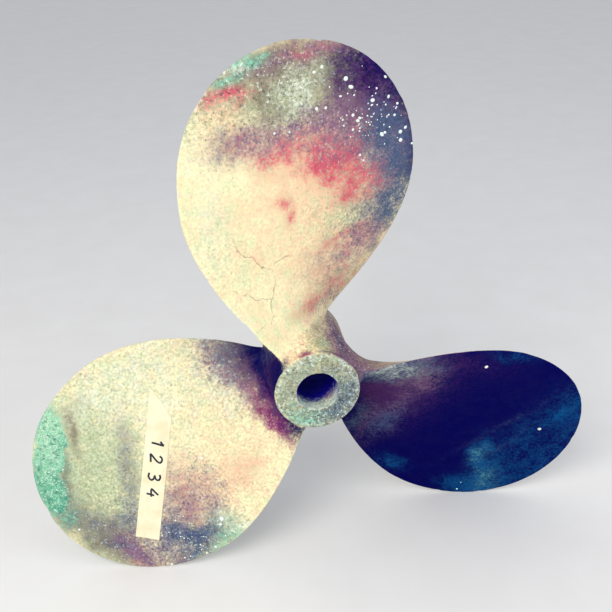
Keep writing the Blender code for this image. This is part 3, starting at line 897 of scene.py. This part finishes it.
def add_fleck(shape, draw, blade, spot, width):
    centre, out = face_point(blade, spot, 0.0)
    sideways = out.orthogonal().normalized()
    onwards = out.cross(sideways)
    axes = Matrix((sideways, onwards, out)).transposed().to_4x4()
    long, short = width / 2 * draw.uniform(0.8, 1.2), width / 2 * draw.uniform(0.7, 1.0)
    size = Matrix.Diagonal((long, short, width * FLECK_RISE, 1.0))
    spin = Matrix.Rotation(draw.uniform(0, tau), 4, "Z")
    bmesh.ops.create_icosphere(shape, subdivisions=2, radius=1.0,
                               matrix=Matrix.Translation(centre) @ axes @ spin @ size)


def make_flecks():
    draw = Random(FLECK_SEED)
    shape = bmesh.new()
    for blade, marks in FLECKS.items():
        for across, up, width in marks:
            add_fleck(shape, draw, blade, Vector((across, up)) * MM, width * MM)
        centre, reach, count = FLECK_DRIFTS[blade]
        for _ in range(count):
            spot = Vector((draw.gauss(centre[0], reach / 2), draw.gauss(centre[1], reach / 2)))
            width = draw.uniform(0.9, 2.0)
            off = spot - DRIFT_CENTRE
            in_ellipse = hypot(off.x / DRIFT_HALF_WIDTH, off.y / DRIFT_HALF_HEIGHT) < DRIFT_END
            if spot.y > DRIFT_LOWEST and in_ellipse:
                add_fleck(shape, draw, blade, spot * MM, width * MM)
    return as_object("lime_flecks", shape)


def lime_finish():
    finish = Finish("lime_scale", (214, 232, 222), specular=0.3, roughness=0.8)
    fine = finish.speckle(1.2, detail=3)
    finish.lay(finish.ramp(fine[0], 0.35, 0.65), (246, 250, 240))
    return finish.done(Normal=finish.relief(fine[1], 0.2 * MM))


flecks = make_flecks()
flecks.data.materials.append(lime_finish())
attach(flecks, "root")


# ------------------------------
# Label tape. A strip of cream crepe masking tape, pressed down over the rough bronze of the
# left blade: cut square at the outer end, torn at the inner one, a few wrinkles across it.
TAPE_WIDTH = 0.024
TAPE_TRIM = 0.5 * MM  # keeps its uneven sides inside that width
TAPE_START = Vector((-0.0447, 0.2410))
TAPE_RUN = Vector((0.0611, 0.1309)) - TAPE_START
TAPE_SIDE = Vector((-TAPE_RUN.y, TAPE_RUN.x)).normalized()
TAPE_STEPS = 170, 28
TAPE_UNDERSIDE = 0.10 * MM
TAPE_PAPER = 0.26 * MM
TAPE_TEAR = 25 * MM  # how much shorter the torn side is
TEAR_START = 0.76


def tape_spot(along, across):
    """Spot on the blade for a place on the strip, both measured from 0 to 1."""
    width = TAPE_WIDTH - TAPE_TRIM
    side = width * (across - 0.5) + 0.25 * MM * noise(Vector((along * 14, across * 2, 1)))
    ragged = noise(Vector((across * 9, 4, 2))) * 1.2 * MM
    ragged += noise(Vector((across * 31, 1, 6))) * 0.9 * MM
    missing = TAPE_TEAR * (1 - across) ** 1.2 + 1.3 * MM - ragged
    torn = max((along - TEAR_START) / (1 - TEAR_START), 0.0) * missing
    return TAPE_START + TAPE_RUN * along - TAPE_RUN.normalized() * torn + TAPE_SIDE * side


def tape_rise(along, across):
    """Wrinkles and a slightly lifted corner."""
    at = Vector((along * 26, across * 1.6, 5))
    wrinkle = max(noise(at) - 0.25, 0.0) * 0.55 * MM
    corner = fade(0.035, 0.0, along) * fade(0.6, 1.0, across) * 0.5 * MM
    return wrinkle + corner


def tape_point(along, across, thickness):
    proud = TAPE_UNDERSIDE + tape_rise(along, across) + thickness
    return face_point(LEFT, tape_spot(along, across), proud)[0]


def tape_finish():
    finish = Finish("crepe_paper", (240, 234, 200), specular=0.3, roughness=0.85)
    finish.lay(finish.ramp(finish.speckle(14, detail=3)[0], 0.35, 0.70), (230, 219, 180))
    crepe = finish.speckle(0.9, detail=2)
    finish.lay(finish.ramp(crepe[0], 0.55, 0.75, 0, 0.35), (214, 200, 160))
    return finish.done(Normal=finish.relief(crepe[1], 0.15 * MM))


tape = make_slab("masking_tape_strip", TAPE_STEPS, (0.0, TAPE_PAPER), tape_point)
tape.data.materials.append(tape_finish())
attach(tape, "root")
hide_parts("label_tape")


# ------------------------------
# Pen marks. Four plain figures, 1 to 4, written along the tape with a blunt felt pen. Each
# stroke is a thin ribbon of ink that lies on the paper.
FIGURES = (
    [[(.25, .72), (.38, .84), (.52, 1.0), (.50, .66), (.47, .33), (.46, .0)]],
    [[(.10, .78), (.22, .96), (.45, 1.0), (.64, .86), (.58, .62), (.34, .34), (.06, .04),
      (.36, .06), (.72, .10)]],
    [[(.12, .92), (.36, 1.0), (.60, .88), (.54, .64), (.28, .54), (.56, .46), (.68, .24),
      (.44, .02), (.10, .08)]],
    [[(.48, 1.0), (.28, .70), (.06, .40), (.38, .38), (.74, .42)],
     [(.58, .66), (.54, .34), (.52, .0)]],
)
FIGURE_PLACES = (0.66, 0.555, 0.435, 0.325)
FIGURE_HEIGHT = 12.0 * MM
FIGURE_BASE = 0.27  # across the tape, from its inner side
STROKE_WIDTH = 2.0 * MM
INK_THICKNESS = 0.05 * MM
STROKE_STEPS = 5
STROKE_END = 0.75  # width of its two ends, as a share of the rest
INK_GAP = 0.03 * MM  # over the paper


def smooth_path(points):
    """Points of a Catmull-Rom curve through the given ones."""
    ends = [points[0]] + list(points) + [points[-1]]
    path = []
    for a, b, c, d in zip(ends, ends[1:], ends[2:], ends[3:]):
        a, b, c, d = (Vector(p) for p in (a, b, c, d))
        for step in range(STROKE_STEPS):
            t = step / STROKE_STEPS
            bend = (2 * a - 5 * b + 4 * c - d) * t ** 2 + (3 * b - a - 3 * c + d) * t ** 3
            path.append(0.5 * (2 * b + (c - a) * t + bend))
    return path + [Vector(points[-1])]


def ink_point(spot, place):
    """Spot of a figure in its own unit square, put on the tape: it reads towards the outer end."""
    length = TAPE_RUN.length
    along = place - (spot.x - 0.4) * FIGURE_HEIGHT / length
    across = 1 - FIGURE_BASE - spot.y * FIGURE_HEIGHT / TAPE_WIDTH
    return tape_point(along, across, TAPE_PAPER + INK_GAP)


def add_stroke(shape, path, place):
    """A ribbon along the path, a little narrower at its two ends."""
    half, last = STROKE_WIDTH / FIGURE_HEIGHT / 2, len(path) - 1
    grid = bmesh.ops.create_grid(shape, x_segments=last, y_segments=1, size=0.5)
    for vertex in grid["verts"]:
        index = round((vertex.co.x + 0.5) * last)
        run = path[min(index + 1, last)] - path[max(index - 1, 0)]
        side = Vector((-run.y, run.x)).normalized() * half
        side *= STROKE_END if index in (0, last) else 1.0
        vertex.co = ink_point(path[index] + (side if vertex.co.y > 0 else -side), place)


def make_ink():
    shape = bmesh.new()
    for strokes, place in zip(FIGURES, FIGURE_PLACES):
        for points in strokes:
            add_stroke(shape, smooth_path(points), place)
    bmesh.ops.recalc_face_normals(shape, faces=shape.faces)
    bmesh.ops.solidify(shape, geom=shape.faces[:], thickness=INK_THICKNESS)
    return as_object("pen_figures", shape)


def ink_finish():
    finish = Finish("felt_pen_ink", (26, 26, 40), specular=0.3, roughness=0.6)
    finish.lay(finish.ramp(finish.speckle(1.5, detail=3)[0], 0.35, 0.7), (62, 62, 82))
    return finish.done()


ink = make_ink()
ink.data.materials.append(ink_finish())
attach(ink, "root")


# ------------------------------
# Room: a plain pale floor that both lower blades stand on, a soft key light from the upper left,
# a weak fill, and the camera where the photograph was taken from.
FLOOR_SIZE = 8.0
CAMERA_TURN = -0.0967
CAMERA_HEIGHT = 0.4918
CAMERA_DISTANCE = 0.7837
CAMERA_TARGET = Vector((-0.00107, -0.106, 0.0900))
CAMERA_ROLL = -0.1239
LENS = 53.33


def standing_line(piece):
    """Lowest point on the left, and the slope to the one on the right: the two it stands on."""
    slope = 0.0
    for _ in range(6):
        left, right = (min((v.co for v in piece.data.vertices if side * v.co.x > 0),
                           key=lambda co: co.z - slope * co.x) for side in (-1, 1))
        slope = (right.z - left.z) / (right.x - left.x)
    return left, slope


def make_floor():
    contact, slope = standing_line(casting)
    shape = bmesh.new()
    bmesh.ops.create_grid(shape, x_segments=8, y_segments=8, size=FLOOR_SIZE / 2)
    bmesh.ops.rotate(shape, verts=shape.verts, matrix=Matrix.Rotation(-atan(slope), 3, "Y"))
    bmesh.ops.translate(shape, verts=shape.verts, vec=(contact.x, 0, contact.z))
    finish = Finish("pale_floor", (240, 238, 233), specular=0.3, roughness=0.9)
    finish.lay(finish.speckle(60, detail=4)[0], (232, 229, 223))
    floor = as_object("floor", shape)
    if floor.data.polygons[0].normal.z < 0:
        floor.data.flip_normals()
    floor.data.materials.append(finish.done())
    return floor


def add_light(name, place, size, energy, colour):
    light = bpy.data.lights.new(name, "AREA")
    light.shape = "SQUARE"
    light.size = size
    light.energy = energy
    light.color = colour
    lamp = bpy.data.objects.new(name, light)
    lamp.location = place
    lamp.rotation_euler = (CAMERA_TARGET - lamp.location).to_track_quat("-Z", "Y").to_euler()
    bpy.context.scene.collection.objects.link(lamp)


def add_camera():
    level = cos(CAMERA_HEIGHT)
    back = Vector((sin(CAMERA_TURN) * level, -cos(CAMERA_TURN) * level, sin(CAMERA_HEIGHT)))
    right = (-back).cross(Vector((0, 0, 1))).normalized()
    up = right.cross(-back)
    c, s = cos(CAMERA_ROLL), sin(CAMERA_ROLL)
    axes = Matrix((c * right + s * up, -s * right + c * up, back)).transposed().to_4x4()
    camera = bpy.data.objects.new("camera", bpy.data.cameras.new("camera"))
    camera.data.lens = LENS
    camera.data.sensor_width = 36.0
    camera.data.clip_start = 0.01
    camera.matrix_world = Matrix.Translation(CAMERA_TARGET + CAMERA_DISTANCE * back) @ axes
    bpy.context.scene.collection.objects.link(camera)
    bpy.context.scene.camera = camera


make_floor()
add_light("key", (-0.80, -1.25, 1.30), 1.1, 25.0, (1.0, 0.98, 0.94))
add_light("fill", (1.3, -1.0, 0.5), 1.4, 8.0, (0.85, 0.9, 1.0))
world = bpy.data.worlds.new("room")
world.use_nodes = True
sky = world.node_tree.nodes["Background"]
sky.inputs["Color"].default_value = (0.86, 0.90, 1.0, 1.0)
sky.inputs["Strength"].default_value = 0.66
bpy.context.scene.world = world
bpy.context.scene.view_settings.view_transform = "Standard"
add_camera()
